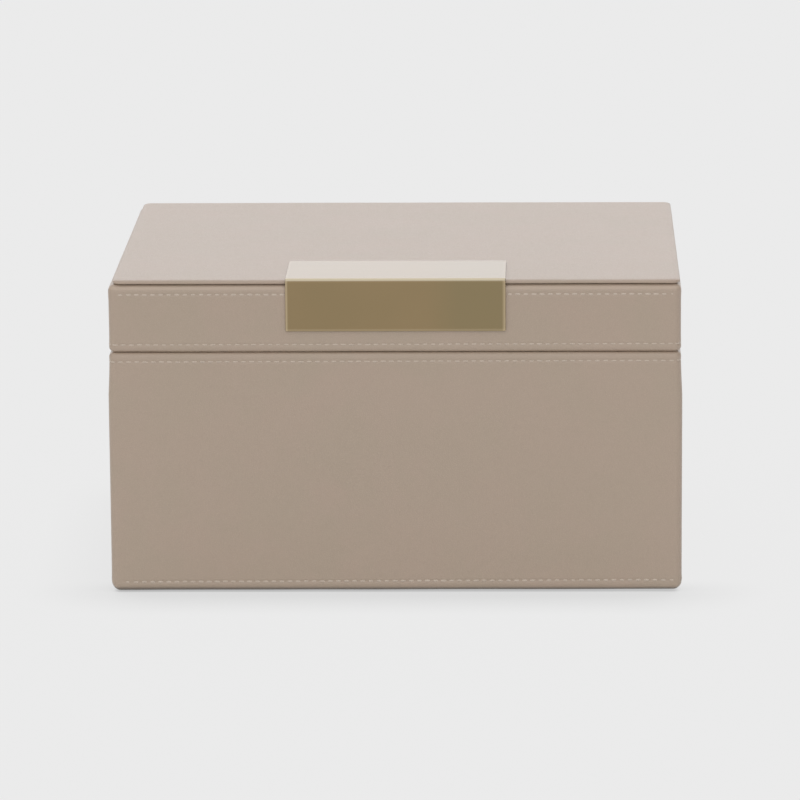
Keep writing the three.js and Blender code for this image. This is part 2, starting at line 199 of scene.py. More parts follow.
plateLook = {  # distances are from the plate's left and right end, its foot, its top and its front face
    "colour": (0.306, 0.215, 0.1), "deep": (0.283, 0.203, 0.092),
    # painted shade: the face darkens towards its right end, standing in for a darker reflection
    "dullToneAndPaintedShade": (0.262, 0.2, 0.093), "paintedShadeFrom": 0.014, "paintedShadeTo": 0.034,
    # painted highlights along the face's left and right ends and along its foot
    "edgeHighlightColour": (0.5, 0.39, 0.235), "edgeHighlightLeft": 0.0019, "edgeHighlightRight": 0.0012, "edgeHighlightPastRight": 0.0004,
    "edgeHighlightFoot": (0.0003, 0.001), "edgeHighlightTop": (0.0016, 0.0008),
    # painted sheen on the top leg, lighter towards the bend
    "paintedTopSheen": (0.46, 0.4, 0.32), "sheenBelowTop": (0.0019, 0.0008), "sheenBehindFront": (0.0015, 0.0025),
    # painted highlight along the bend
    "bright": (0.61, 0.53, 0.37), "bendHighlightTop": (0.0015, 0.00105), "bendHighlightFront": (0.0011, 0.0022),
    "coat": 0.95, "coatRoughness": 0.22, "roughness": 0.34,
}


def plateMaterial():
    look = plateLook
    material, start, place = startMaterial("satinBrassPlate")
    brushed = start.noise(stretched(start, place, (18, 2600, 2600)), 1, 3, 0.65)
    clouds = start.noise(place, 22, 2)
    specks = start.noise(place, 1400, 2)
    colour = (clouds.spread(0.3, 0.7) * 0.6 + brushed * 0.4).blended(look["deep"], look["colour"])
    low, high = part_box("pull_plate")
    across = place.axis(0)
    behindFront, aboveFoot, belowTop = place.axis(1) - low.y, place.axis(2) - low.z, high.z - place.axis(2)
    # painted shade towards the right end of the face
    colour = across.spread(look["paintedShadeFrom"], look["paintedShadeTo"], 0.0, 0.8).blended(colour, look["dullToneAndPaintedShade"])
    # painted highlight along the face's ends and foot, kept off the top
    paintedEdgeHighlight = across.spread(high.x - look["edgeHighlightRight"], high.x + look["edgeHighlightPastRight"], 0.0, 0.85)
    paintedEdgeHighlight += across.spread(low.x + look["edgeHighlightLeft"] * 0.5, low.x + look["edgeHighlightLeft"], 0.9, 0.0)
    paintedEdgeHighlight += aboveFoot.spread(*look["edgeHighlightFoot"], 0.35, 0.0)
    paintedEdgeHighlight *= belowTop.spread(*look["edgeHighlightTop"], 1.0, 0.2)
    colour = paintedEdgeHighlight.blended(colour, look["edgeHighlightColour"])
    # painted sheen on the top leg
    paintedTopSheen = belowTop.spread(*look["sheenBelowTop"], 0.0, 0.9) * behindFront.spread(*look["sheenBehindFront"], 1.0, 0.34)
    colour = paintedTopSheen.blended(colour, look["paintedTopSheen"])
    # painted highlight along the bend between the top and the face
    bend = belowTop.spread(*look["bendHighlightTop"]) * behindFront.spread(*look["bendHighlightFront"], 1.0, 0.0)
    colour = bend.blended(colour, look["bright"])
    roughness = look["roughness"] + (brushed - 0.5) * 0.12 + (clouds - 0.5) * 0.03
    finishMaterial(start, {
        "Base Color": colour, "Metallic": 1.0, "Roughness": roughness,
        "Coat Weight": look["coat"], "Coat Roughness": look["coatRoughness"],
        "Normal": bumped(start, brushed * 0.8 + specks * 0.2, 0.000012, 0.5),
    })
    return material


hingeBrassLook = {"colour": (0.56, 0.4, 0.17), "dullToneAndPaintedShade": (0.43, 0.3, 0.13), "roughness": 0.24}


def hingeBrassMaterial():
    look = hingeBrassLook
    material, start, place = startMaterial("hingeBrass")
    brushed = start.noise(stretched(start, place, (60, 1800, 1800)), 1, 3, 0.6)
    dullToneAndPaintedShade = start.noise(place, 160, 3, 0.6)
    colour = dullToneAndPaintedShade.spread(0.35, 0.75).blended(look["colour"], look["dullToneAndPaintedShade"])
    finishMaterial(start, {
        "Base Color": colour, "Metallic": 1.0,
        "Roughness": look["roughness"] + dullToneAndPaintedShade * 0.16 + brushed * 0.08,
        "Normal": bumped(start, brushed, 0.000015, 0.6),
    })
    return material


steelLook = {"colour": (0.5, 0.51, 0.53), "spangle": (0.38, 0.39, 0.41), "roughness": 0.3}


def steelMaterial():
    look = steelLook
    material, start, place = startMaterial("zincPlatedSteel")
    spangle = start.node("TexVoronoi", {}, {"Vector": place, "Scale": 900})
    turning = start.noise(stretched(start, place, (400, 3200, 400)), 1, 2)
    colour = spangle.spread(0.1, 0.7).blended(look["colour"], look["spangle"])
    finishMaterial(start, {
        "Base Color": colour, "Metallic": 1.0, "Roughness": look["roughness"] + turning * 0.15,
        "Normal": bumped(start, turning, 0.00001, 0.6),
    })
    return material


boardLook = {
    "deep": (0.33, 0.22, 0.12), "colour": (0.52, 0.38, 0.23), "fleck": (0.17, 0.1, 0.055),
    "roughness": 0.82,
}


def boardMaterial():
    look = boardLook
    material, start, place = startMaterial("mediumDensityBoard")
    fibres = start.noise(stretched(start, place, (900, 900, 3200)), 1, 4, 0.7)
    layers = start.noise(stretched(start, place, (12, 12, 420)), 1, 2)
    flecks = start.noise(place, 2100, 2).spread(0.66, 0.76)
    colour = (fibres * 0.7 + layers * 0.3).blended(look["deep"], look["colour"])
    colour = (flecks * 0.5).blended(colour, look["fleck"])
    finishMaterial(start, {
        "Base Color": colour, "Roughness": look["roughness"] + fibres * 0.12,
        "Normal": bumped(start, fibres + layers * 0.5, 0.00008, 0.6),
    })
    return material


cardLook = {
    "deep": (0.27, 0.245, 0.21), "colour": (0.37, 0.34, 0.295), "fleck": (0.13, 0.12, 0.11),
    "roughness": 0.88,
}


def cardMaterial():
    look = cardLook
    material, start, place = startMaterial("greyCard")
    pulp = start.noise(place, 700, 4, 0.7)
    flecks = start.noise(stretched(start, place, (1500, 500, 1500)), 1, 2).spread(0.64, 0.74)
    colour = pulp.blended(look["deep"], look["colour"])
    colour = (flecks * 0.45).blended(colour, look["fleck"])
    finishMaterial(start, {
        "Base Color": colour, "Roughness": look["roughness"] + pulp * 0.08,
        "Normal": bumped(start, pulp, 0.00006, 0.5),
    })
    return material


suedeLook = {
    "colour": (0.62, 0.53, 0.43), "brushedBack": (0.5, 0.42, 0.335), "shade": (0.4, 0.33, 0.26),
    "nap": 2400, "roughness": 0.86,
}


def suedeMaterial():
    look = suedeLook
    material, start, place = startMaterial("beigeSuedeCloth")
    nap = start.noise(place, look["nap"], 4, 0.7)
    strokes = start.noise(stretched(start, place, (26, 60, 40)), 1, 3, 0.6)
    patches = start.noise(place, 16, 2)
    colour = (strokes.spread(0.38, 0.62) * 0.6 + patches * 0.4).blended(look["brushedBack"], look["colour"])
    colour = (nap.spread(0.45, 0.75) * 0.3).blended(colour, look["shade"])
    finishMaterial(start, {
        "Base Color": colour, "Roughness": look["roughness"] + nap * 0.1, "Sheen Weight": 0.35,
        "Sheen Roughness": 0.4, "Normal": bumped(start, nap * 0.7 + strokes * 0.3, 0.00012, 0.6),
    })
    return material


feltLook = {"deep": (0.035, 0.031, 0.027), "colour": (0.13, 0.115, 0.1), "roughness": 0.9}


def feltMaterial():
    look = feltLook
    material, start, place = startMaterial("darkNeedleFelt")
    fibres = start.noise(stretched(start, place, (1500, 700, 1100)), 1, 5, 0.75)
    tufts = start.noise(place, 260, 3)
    colour = (fibres * 0.6 + tufts * 0.4).blended(look["deep"], look["colour"])
    finishMaterial(start, {
        "Base Color": colour, "Roughness": look["roughness"] + tufts * 0.08, "Sheen Weight": 0.25,
        "Normal": bumped(start, fibres * 0.7 + tufts * 0.3, 0.0002, 0.8),
    })
    return material


leather = leatherMaterial()
thread = threadMaterial()
plateBrass = plateMaterial()
hingeBrass = hingeBrassMaterial()
steel = steelMaterial()
board = boardMaterial()
card = cardMaterial()
suede = suedeMaterial()
felt = feltMaterial()
print("materials made")


# Finishing a piece

def finishPiece(name, bm, body, material, replaced, sharpAngle=38):
    mesh = bpy.data.meshes.new(name)
    bm.to_mesh(mesh)
    bm.free()
    mesh.shade_smooth()
    mesh.set_sharp_from_angle(angle=math.radians(sharpAngle))
    mesh.materials.append(material)
    piece = bpy.data.objects.new(name, mesh)
    scene.collection.objects.link(piece)
    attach(piece, body)
    if replaced:
        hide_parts(*replaced)
    return piece


def thickened(piece, thickness):
    wall = piece.modifiers.new("wall", "SOLIDIFY")
    wall.thickness = thickness
    wall.offset = -1
    wall.use_even_offset = True
    return piece


def flatFaced(piece):  # broad faces stay flat beside their rounded edges
    normals = piece.modifiers.new("flatFaces", "WEIGHTED_NORMAL")
    normals.keep_sharp = True
    return piece


def softlyUneven(bm, amount, size, seed):  # the small waviness of a glued sheet
    bm.normal_update()
    away = Vector((seed * 7.3, seed * 3.1, seed * 5.7))
    for vertex in bm.verts:
        wave = noise.noise(vertex.co / size + away) + 0.35 * noise.noise(vertex.co * 4 / size - away)
        vertex.co += vertex.normal * (wave * amount)


# Rings round the box

def clamped(value, limit):
    return max(-limit, min(limit, value))


def share(value):
    return min(1, max(0, value))


def eased(value):
    return value * value * (3 - 2 * value)


def ringPlace(point, shape, inset, height):
    # the point of a ring that is drawn in from the outer outline by the inset
    middle, half, radius = shape["middle"], shape["half"], shape["radius"]
    across = Vector((point.x - middle.x, point.y - middle.y))
    if inset < radius:
        core = Vector((clamped(across.x, half.x - radius), clamped(across.y, half.y - radius)))
        across = core + (across - core).normalized() * (radius - inset)
    else:
        across = Vector((clamped(across.x, half.x - inset), clamped(across.y, half.y - inset)))
    return Vector((middle.x + across.x, middle.y + across.y, height))


def startRing(bm, shape, height):
    # a rectangle with rounded corners, divided along its sides
    half, radius = shape["half"], shape["radius"]
    place = Matrix.Translation((shape["middle"].x, shape["middle"].y, height))
    size = Matrix.Diagonal((half.x, half.y, 1, 1))
    bmesh.ops.create_grid(bm, x_segments=1, y_segments=1, size=1, matrix=place @ size)
    bmesh.ops.bevel(bm, geom=bm.verts[:], offset=radius, segments=shape["cornerSegments"],
                    profile=0.5, affect="VERTICES", material=-1)
    longEdges = [edge for edge in bm.edges if edge.calc_length() > half.y]
    bmesh.ops.subdivide_edges(bm, edges=longEdges, cuts=shape["cuts"])
    bmesh.ops.delete(bm, geom=bm.faces[:], context="FACES_ONLY")
    return bm.edges[:]


def carryRing(bm, edges, section, shape):
    # each step of the section adds one band of faces
    for inset, height in section:
        grown = bmesh.ops.extrude_edge_only(bm, edges=edges)["geom"]
        fresh = {item for item in grown if isinstance(item, bmesh.types.BMVert)}
        edges = [item for item in grown
                 if isinstance(item, bmesh.types.BMEdge) and set(item.verts) <= fresh]
        for vertex in fresh:
            vertex.co = ringPlace(vertex.co, shape, inset, height)
    return edges


def roundedOver(lineInset, lineHeight, radius, direction, steps, inwards=True):
    # a quarter round from the upright face to the level one, or the other way round
    points = []
    for step in range(1, steps + 1):
        turn = math.pi / 2 * step / steps
        if inwards:
            inset = lineInset + radius * (1 - math.cos(turn))
            height = lineHeight - direction * radius * (1 - math.sin(turn))
        else:
            inset = lineInset - radius * (1 - math.sin(turn))
            height = lineHeight - direction * radius * (1 - math.cos(turn))
        points.append((inset, height))
    return points


# Leather covers

coverSizes = {
    "cornerRadius": 0.0035,
    "thickness": 0.001,
    "rimWidth": 0.0116,      # cover, glue, board, glue and cover again
    "rimRadius": 0.0024,
    "innerRimRadius": 0.0012,
    "turnedIn": 0.012,
    "baseFarRadius": 0.0037,
    "lidFarRadius": 0.0036,
    "farTurn": 0.014,
    "footLift": 0.0004,      # the base's lower edge stands a little off the floor
    "footTilt": 0.0014,      # and rises a little to the right
    "footReach": 0.004,
    "baseSwell": 0.0001,     # the sheet's own softness, where lid and base meet
    "lidSwell": 0.0005,
    "fuller": 0.0008,        # how far the base's ends stand out below its rim
    "fullerFrom": 0.1185,
    "fullerTo": 0.096,
    "fullerReach": 0.02,
    "drawnIn": 0.0068,       # and the height from which they draw in again towards the floor
    "settle": 0.00012,       # how far the wall lies behind the puffed edges
    "settleReach": 0.003,
    "groove": 0.00024,
    "grooveWidth": 0.0007,
    "grooveReach": 0.0022,   # the wall has fine bands this near a row, and its even bands stay clear of them
    "fineBands": 8,
    "evenGap": 0.0025,
    "evenBands": 12,
    "lowestBand": 0.0001,
    "outerBand": 0.0006,     # the thread draws in the sheet's outer face, no deeper than this
    "unevenness": 0.00009,
    "waveLength": 0.05,
    "weld": 0.00001,
}

# The rows rise to the right by their tilt. Broad stitches are taller, and only round rows pass the corners.
stitchRows = {
    "baseUpper": {"height": 0.1164, "tilt": 0.0015, "pitch": 0.004024, "phase": 0.0025,
                  "round": True, "broad": 1.0},
    "baseLower": {"height": 0.0058, "tilt": 0.0034, "pitch": 0.003992, "phase": -0.00057,
                  "round": False, "broad": 1.35},
    "lidLower": {"height": 0.12487, "tilt": 0.001, "pitch": 0.003992, "phase": 0.00296,
                 "round": True, "broad": 1.0},
    "lidUpper": {"height": 0.1497, "tilt": 0.0, "pitch": 0.003962, "phase": 0.00083,
                 "round": False, "broad": 1.35},
}


def rowHeight(row, across):
    return row["height"] + row["tilt"] * across


def ringShape(node, cornerRadius, leftInset=0):
    low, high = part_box(node)
    low.x += leftInset
    return {"middle": (low + high) / 2, "half": (high - low) / 2, "low": low.z, "high": high.z,
            "radius": cornerRadius, "cornerSegments": 10, "cuts": 30}


def wallInset(height, rows):
    # edges outside the rows are puffed
    reach = coverSizes["settleReach"]
    return coverSizes["settle"] * share((height - min(rows)) / reach) * share((max(rows) - height) / reach)


def pullInRows(bm, shape, rows):
    # the thread draws the sheet in along its row, and not round a corner that the row stops short of
    sizes, radius, middle = coverSizes, shape["radius"], shape["middle"]
    straightX, straightY = shape["half"].x - radius, shape["half"].y - radius
    for vertex in bm.verts:
        point = vertex.co - middle
        core = Vector((clamped(point.x, straightX), clamped(point.y, straightY)))
        outwards = point.xy - core
        if outwards.length < radius - sizes["outerBand"]:
            continue
        atCorner = abs(core.x) > straightX - sizes["weld"] and abs(core.y) > straightY - sizes["weld"]
        for row in rows:
            off = (vertex.co.z - rowHeight(row, vertex.co.x)) / sizes["grooveWidth"]
            if row["round"] or not atCorner:
                vertex.co -= outwards.normalized().to_3d() * (sizes["groove"] * math.exp(-off * off))


def fullerBy(across, height, half):
    # eased from the rim down, and outwards near each end
    sizes = coverSizes
    down = share((sizes["fullerFrom"] - height) / (sizes["fullerFrom"] - sizes["fullerTo"]))
    down *= share(height / sizes["drawnIn"])
    out = share((abs(across) - half + sizes["fullerReach"]) / sizes["fullerReach"])
    return math.copysign(sizes["fuller"] * eased(down) * eased(out), across)


def wallHeights(low, high, rows):
    sizes = coverSizes
    even, fine, lowest = sizes["evenBands"], sizes["fineBands"], sizes["lowestBand"]
    marks = [low + (high - low) * step / even for step in range(even + 1)]
    marks = [mark for mark in marks if all(abs(mark - row) > sizes["evenGap"] for row in rows)]
    for row in rows:
        marks += [row + sizes["grooveReach"] * step / fine for step in range(-fine, fine + 1)]
    marks = {round(mark, 6) for mark in marks if low + lowest < mark < high - lowest}
    return sorted(marks | {low, high})


def leatherCover(name, node, rows, rimUp, body):
    sizes = coverSizes
    shape = ringShape(node, sizes["cornerRadius"])
    up = 1 if rimUp else -1
    rim, far = (shape["high"], shape["low"]) if rimUp else (shape["low"], shape["high"])
    farRadius = sizes[body + "FarRadius"]
    rim += up * sizes[body + "Swell"]
    far += sizes["footLift"] if rimUp else 0
    rowHeights = [stitchRows[row]["height"] for row in rows]
    wallLow = shape["low"] + (farRadius if rimUp else sizes["rimRadius"])
    wallHigh = shape["high"] - (sizes["rimRadius"] if rimUp else farRadius)
    heights = wallHeights(wallLow, wallHigh, rowHeights)
    if not rimUp:
        heights.reverse()
    start = len(heights) // 2
    wall = [(wallInset(height, rowHeights), height) for height in heights]
    bm = bmesh.new()
    edges = startRing(bm, shape, heights[start])
    for vertex in bm.verts:
        vertex.co = ringPlace(vertex.co, shape, *wall[start])
    overRim = (
        wall[start + 1:]
        + roundedOver(0, rim, sizes["rimRadius"], up, 6)
        + [(sizes["rimWidth"] - sizes["innerRimRadius"], rim)]
        + roundedOver(sizes["rimWidth"], rim, sizes["innerRimRadius"], up, 4, inwards=False)
        + [(sizes["rimWidth"], rim - up * sizes["turnedIn"])]
    )
    overFar = (
        wall[:start][::-1]
        + roundedOver(0, far, farRadius, -up, 7)
        + [(sizes["farTurn"], far)]
    )
    carryRing(bm, edges, overRim, shape)
    carryRing(bm, edges, overFar, shape)
    bmesh.ops.remove_doubles(bm, verts=bm.verts[:], dist=sizes["weld"])
    bmesh.ops.recalc_face_normals(bm, faces=bm.faces[:])
    pullInRows(bm, shape, [stitchRows[row] for row in rows])
    if rimUp:
        for vertex in bm.verts:
            vertex.co.x += fullerBy(vertex.co.x, vertex.co.z, shape["half"].x)
            atFoot = max(0, 1 - (vertex.co.z - far) / sizes["footReach"])
            vertex.co.z += sizes["footTilt"] * vertex.co.x * atFoot
    softlyUneven(bm, sizes["unevenness"], sizes["waveLength"], 1 + up)
    piece = finishPiece(name, bm, body, leather, [node])
    return thickened(piece, sizes["thickness"])


leatherCover("baseLeather", "base_cover", ["baseLower", "baseUpper"], True, "base")
leatherCover("lidLeather", "lid_cover", ["lidLower", "lidUpper"], False, "lid")

topPanelSizes = {
    "cornerRadius": 0.004,
    "edgeDepth": 0.0027,     # the padding falls away over this much of the top
    "edgeHeight": 0.001,
    "edgeSteps": 10,
    "rings": 14,
    "middleGap": 0.0002,     # the rings of the flat top end this close to its middle line
    "underRadius": 0.0006,
    "lift": 0.0001,          # the dark line below the panel
    "turnedUnder": 0.006,
    "thickness": 0.001,
    "unevenness": 0.00011,
    "waveLength": 0.06,
    "leftInset": 0.0016,     # laid by hand, a little to the right
    "sink": 0.0003,
    "cardInset": 0.0014,
    "cardEdge": 0.0002,
    "weld": 0.00001,
}


def topPanelCover():
    sizes = topPanelSizes
    shape = ringShape("lid_top_cover", sizes["cornerRadius"], sizes["leftInset"])
    low, high = shape["low"] + sizes["lift"], shape["high"] - sizes["sink"]
    bm = bmesh.new()
    edges = startRing(bm, shape, low + sizes["underRadius"])
    overTop = []
    for step in range(sizes["edgeSteps"] + 1):
        turn = math.pi / 2 * step / sizes["edgeSteps"]
        inset = sizes["edgeDepth"] * (1 - math.cos(turn))
        overTop.append((inset, high - sizes["edgeHeight"] * (1 - math.sin(turn))))
    inner, reach = sizes["cornerRadius"], shape["half"].y - sizes["cornerRadius"] - sizes["middleGap"]
    overTop += [(inner + reach * (step + 1) / sizes["rings"], high) for step in range(sizes["rings"])]
    last = carryRing(bm, edges, overTop, shape)
    bmesh.ops.holes_fill(bm, edges=last, sides=0)
    under = roundedOver(0, low, sizes["underRadius"], -1, 3) + [(sizes["turnedUnder"], low)]
    carryRing(bm, edges, under, shape)
    bmesh.ops.remove_doubles(bm, verts=bm.verts[:], dist=sizes["weld"])
    bmesh.ops.recalc_face_normals(bm, faces=bm.faces[:])
    softlyUneven(bm, sizes["unevenness"], sizes["waveLength"], 5)
    piece = finishPiece("topPanelLeather", bm, "lid", leather, ["lid_top_cover"])
    return thickened(piece, sizes["thickness"])


def topCard():
    sizes = topPanelSizes
    inset, edge = sizes["cardInset"], sizes["cardEdge"]
    shape = ringShape("lid_top_cover", sizes["cornerRadius"], sizes["leftInset"])
    top = shape["high"] - inset - edge
    bm = bmesh.new()
    edges = startRing(bm, shape, shape["low"])
    for vertex in bm.verts:
        vertex.co = ringPlace(vertex.co, shape, inset, shape["low"])
    last = carryRing(bm, edges, [(inset, top - edge), (inset + edge, top)], shape)
    bmesh.ops.holes_fill(bm, edges=last, sides=0)
    bmesh.ops.holes_fill(bm, edges=edges, sides=0)
    bmesh.ops.recalc_face_normals(bm, faces=bm.faces[:])
    finishPiece("topCard", bm, "lid", card, ["lid_top_card"])


topPanelCover()
topCard()
print("leather covers made")


# Stitching

stitchSizes = {
    "length": 0.0025,
    "thread": 0.00098,
    "rise": 0.0004,          # how far the middle of a stitch stands above its ends
    "endInset": 0.00074,     # depth of the ends below the outer face
    "straightEnd": 0.0042,   # a straight row stops this far from the corner's outline
    "lean": 3.0,             # degrees either way
    "stray": 0.00006,
    "lengths": (0.9, 1.06),
    "rises": (0.9, 1.1),
    "plateGap": 0.0006,
}


def oneStitch():
    # an arch of thread, drawn along X with Z away from the leather
    sizes = stitchSizes
    half, rise = sizes["length"] / 2, sizes["rise"]
    radius = (half * half + rise * rise) / (2 * rise)
    turn = math.asin(half / radius)
    bm = bmesh.new()
    start = Matrix.Rotation(-turn, 4, "Y") @ Matrix.Translation((0, 0, radius))
    upright = start @ Matrix.Rotation(math.pi / 2, 4, "Y")
    bmesh.ops.create_circle(bm, segments=6, radius=sizes["thread"] / 2, matrix=upright)
    bmesh.ops.spin(bm, geom=bm.edges[:], cent=(0, 0, 0), axis=(0, 1, 0), angle=2 * turn, steps=5)
    bmesh.ops.holes_fill(bm, edges=bm.edges[:], sides=0)
    bmesh.ops.recalc_face_normals(bm, faces=bm.faces[:])
    bmesh.ops.translate(bm, verts=bm.verts[:], vec=(0, 0, rise - radius))
    mesh = bpy.data.meshes.new("oneStitch")
    bm.to_mesh(mesh)
    bm.free()
    return mesh


def alongOutline(run, shape):
    # a place on the outline and the way out of the wall there, from the front's middle
    half, radius = shape["half"], shape["radius"]
    straightX, straightY, arc = half.x - radius, half.y - radius, radius * math.pi / 2
    left = abs(run)
    if left < straightX:
        point, turn = Vector((left, -half.y)), 0
    elif left < straightX + arc:
        turn = (left - straightX) / radius
        point = Vector((straightX + radius * math.sin(turn), -straightY - radius * math.cos(turn)))
    elif left < straightX + arc + 2 * straightY:
        point, turn = Vector((half.x, left - straightX - arc - straightY)), math.pi / 2
    elif left < straightX + 2 * arc + 2 * straightY:
        turn = math.pi / 2 + (left - straightX - arc - 2 * straightY) / radius
        point = Vector((straightX + radius * math.sin(turn), straightY - radius * math.cos(turn)))
    else:
        point, turn = Vector((2 * straightX + 2 * arc + 2 * straightY - left, half.y)), math.pi
    outwards = Vector((math.sin(turn), -math.cos(turn)))
    if run < 0:
        point.x, outwards.x = -point.x, -outwards.x
    return point, outwards


def stitchRuns(row, shape):
    half, radius = shape["half"], shape["radius"]
    straightX, straightY, arc = half.x - radius, half.y - radius, radius * math.pi / 2
    around = 4 * (straightX + straightY + arc)
    if row["round"]:
        count = round(around / row["pitch"])
        return [row["phase"] + around * (step / count) for step in range(-(count // 2), count - count // 2)]
    runs = []
    sides = [(0, half.x), (straightX + arc + straightY, half.y), (around / 2, half.x),
             (-straightX - arc - straightY, half.y)]
    for middle, reach in sides:
        reach -= stitchSizes["straightEnd"]
        steps = int(reach / row["pitch"])
        phase = row["phase"] if middle == 0 else row["pitch"] / 2
        for step in range(-steps - 1, steps + 2):
            run = phase + step * row["pitch"]
            if abs(run) <= reach:
                run += middle
                runs.append(run - around if run > around / 2 else run)
    return runs


def underPlate(point, low, high):
    gap = stitchSizes["plateGap"]
    return low.x - gap < point.x < high.x + gap and point.y < 0


def stitchRow(name, node, rowName, body, seed):
    chance, sizes = random.Random(seed), stitchSizes
    row, shape = stitchRows[rowName], ringShape(node, coverSizes["cornerRadius"])
    plateLow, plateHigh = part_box("pull_plate")
    stitch = oneStitch()
    bm = bmesh.new()
    for run in stitchRuns(row, shape):
        point, outwards = alongOutline(run, shape)
        if plateLow.z < row["height"] and underPlate(point, plateLow, plateHigh):
            continue
        count = len(bm.verts)
        bm.from_mesh(stitch)
        bm.verts.ensure_lookup_table()
        fresh = bm.verts[count:]
        along = Vector((-outwards.y, outwards.x, 0))
        away = Vector((outwards.x, outwards.y, 0))
        turned = Matrix((along, away.cross(along), away)).transposed().to_4x4()
        centre = Vector((point.x + shape["middle"].x, point.y + shape["middle"].y, rowHeight(row, point.x)))
        centre -= away * sizes["endInset"]
        centre.x += fullerBy(centre.x, centre.z, shape["half"].x) if body == "base" else 0
        centre.z += chance.uniform(-1, 1) * sizes["stray"]
        lean = Matrix.Rotation(math.radians(chance.uniform(-1, 1) * sizes["lean"]), 4, "Z")
        long, tall = chance.uniform(*sizes["lengths"]), chance.uniform(*sizes["rises"])
        size = Matrix.Diagonal((long, row["broad"], tall, 1))
        bmesh.ops.transform(bm, verts=fresh, matrix=Matrix.Translation(centre) @ turned @ lean @ size)
    bpy.data.meshes.remove(stitch)
    return finishPiece(name, bm, body, thread, [], sharpAngle=60)


stitchRow("baseUpperStitches", "base_cover", "baseUpper", "base", 11)
stitchRow("baseLowerStitches", "base_cover", "baseLower", "base", 12)
stitchRow("lidLowerStitches", "lid_cover", "lidLower", "lid", 13)
stitchRow("lidUpperStitches", "lid_cover", "lidUpper", "lid", 14)
print("stitching made")


# The pull plate, and the bosses that its screws go into

plateSizes = {
    "thickness": 0.001,
    "bend": 0.0019,
    "bendSteps": 12,
    "cornerRadius": 0.0006,
    "backCornerRadius": 0.0014,
    "edge": 0.0004,
    "shift": 0.0004,         # fitted by hand, it sits a little to the right
    "wider": 0.0004,
    "drop": 0.0003,
    "longer": 0.0002,
    "shorter": 0.0007,
}


def pullPlate():
    sizes = plateSizes
    low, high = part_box("pull_plate")
    bm = bmesh.new()
    foot = bm.verts.new((low.x, low.y, low.z - sizes["longer"]))
    shoulder = bm.verts.new((low.x, low.y, high.z - sizes["bend"]))
    bm.edges.new((foot, shoulder))
    centre = (low.x, low.y + sizes["bend"], high.z - sizes["bend"])
    spun = bmesh.ops.spin(bm, geom=[shoulder], cent=centre, axis=(-1, 0, 0), angle=math.pi / 2,
                          steps=sizes["bendSteps"])["geom_last"]
    tip = [item for item in spun if isinstance(item, bmesh.types.BMVert)][0]
    back = bm.verts.new((low.x, high.y - sizes["shorter"], high.z))
    bm.edges.new((tip, back))
    grown = bmesh.ops.extrude_edge_only(bm, edges=bm.edges[:])["geom"]
    fresh = [item for item in grown if isinstance(item, bmesh.types.BMVert)]
    bmesh.ops.translate(bm, verts=fresh, vec=(high.x - low.x + sizes["wider"], 0, 0))
    corners = [vertex for vertex in bm.verts if len(vertex.link_edges) == 2]
    lower = [vertex for vertex in corners if vertex.co.z < high.z - sizes["bend"]]
    upper = [vertex for vertex in corners if vertex not in lower]
    for group, radius in ((lower, sizes["cornerRadius"]), (upper, sizes["backCornerRadius"])):
        bmesh.ops.bevel(bm, geom=group, offset=radius, segments=5, profile=0.5,
                        affect="VERTICES", material=-1)
    bmesh.ops.translate(bm, verts=bm.verts[:], vec=(sizes["shift"], 0, -sizes["drop"]))
    bmesh.ops.recalc_face_normals(bm, faces=bm.faces[:])
    piece = finishPiece("pullPlate", bm, "lid", plateBrass, ["pull_plate"], sharpAngle=30)
    thickened(piece, sizes["thickness"])
    edge = piece.modifiers.new("softEdge", "BEVEL")
    edge.width = sizes["edge"]
    edge.segments = 3
    edge.angle_limit = math.radians(40)
    return flatFaced(piece)


bossSizes = {
    "radius": 0.0025,
    "bore": 0.0013,
    "boreFloor": 0.001,
    "length": 0.0055,
    "bevel": 0.0003,
    "rise": 0.0075,
    "fromFace": 0.0005,
    "axisGap": 0.00001,
    "weld": 0.00002,
}


def plateBosses():
    sizes = bossSizes
    radius, bore, length, bevel = (sizes[name] for name in ("radius", "bore", "length", "bevel"))
    drawn = [(radius, 0), (radius, length - bevel), (radius - bevel, length), (bore + bevel, length),
             (bore, length - bevel), (bore, sizes["boreFloor"]), (sizes["axisGap"], sizes["boreFloor"])]
    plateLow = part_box("pull_plate")[0]
    for side in ("left", "right"):
        screwLow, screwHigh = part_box("pull_screw_" + side)
        bm = bmesh.new()
        points = [bm.verts.new((out, along, 0)) for out, along in drawn]
        for first, second in zip(points, points[1:]):
            bm.edges.new((first, second))
        bmesh.ops.spin(bm, geom=bm.verts[:] + bm.edges[:], cent=(0, 0, 0), axis=(0, 1, 0),
                       angle=2 * math.pi, steps=32, use_merge=True)
        bmesh.ops.remove_doubles(bm, verts=bm.verts[:], dist=sizes["weld"])
        bmesh.ops.holes_fill(bm, edges=[edge for edge in bm.edges if edge.is_boundary], sides=0)
        bmesh.ops.recalc_face_normals(bm, faces=bm.faces[:])
        spot = ((screwLow.x + screwHigh.x) / 2, plateLow.y + sizes["fromFace"], plateLow.z + sizes["rise"])
        bmesh.ops.translate(bm, verts=bm.verts[:], vec=spot)
        finishPiece(side + "PlateBoss", bm, "lid", plateBrass, [], sharpAngle=30)


pullPlate()
plateBosses()
print("pull plate made")


# Hinges

hingeSizes = {
    "edge": 0.00016,
    "screwHead": 0.0021,
    "headEdge": 0.00024,
    "headBevel": 0.00008,
    "headFlat": 0.0015,      # the flat middle of the head, and how far it stands out
    "headRise": 0.00001,
    "screwShank": 0.0011,
    "screwLength": 0.012,
    "screwTip": 0.002,
    "screwTaper": 0.0012,
    "crossArm": 0.0012,
    "crossWidth": 0.00034,
    "crossDepth": 0.0005,
    "crossDraft": 0.72,
    "crossTurn": 23,         # degrees, to which each screw's place adds some more
    "crossSpread": 40,
    "turnPitch": 0.01,
    "weld": 0.000001,
    "copyWeld": 0.000002,
}


